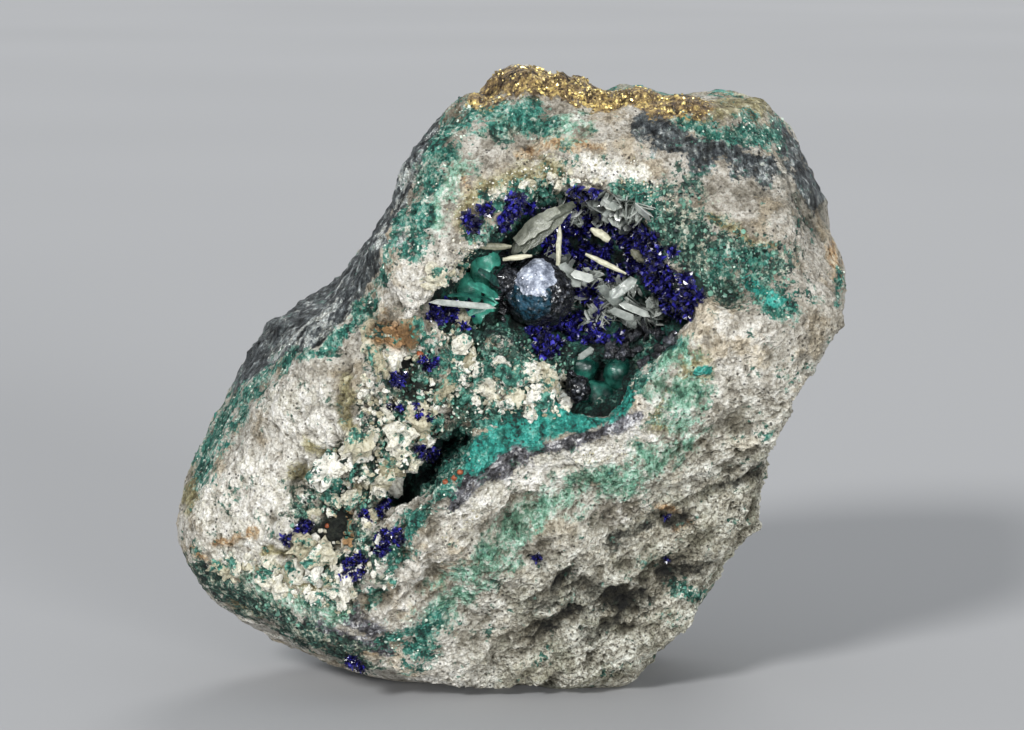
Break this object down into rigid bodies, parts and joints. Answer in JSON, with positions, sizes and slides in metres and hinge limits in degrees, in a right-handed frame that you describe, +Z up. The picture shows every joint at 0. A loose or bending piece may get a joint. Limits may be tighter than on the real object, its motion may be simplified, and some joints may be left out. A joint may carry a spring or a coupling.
{
  "type": "mineral specimen",
  "caption": "Clinoclase specimen: a rough block of quartz-rich rock with a hollow in its front lined with dark blue crystals, thin plates and dark balls.",
  "frame": {"origin": "on the surface that the specimen stands on, under the middle of its bounding box", "axes": "+Z up as it stands; the broken front with the hollow faces -Y; +X is to the right seen from the front"},
  "size_m": [0.079, 0.053, 0.073],
  "materials": {
    "matrix": "rough broken rock",
    "clinoclase_crust": "glassy crystals"
  },
  "bodies": {
    "root": {"matrix": "matrix", "clinoclase_crust": "clinoclase_crust"}
  },
  "joints": []
}
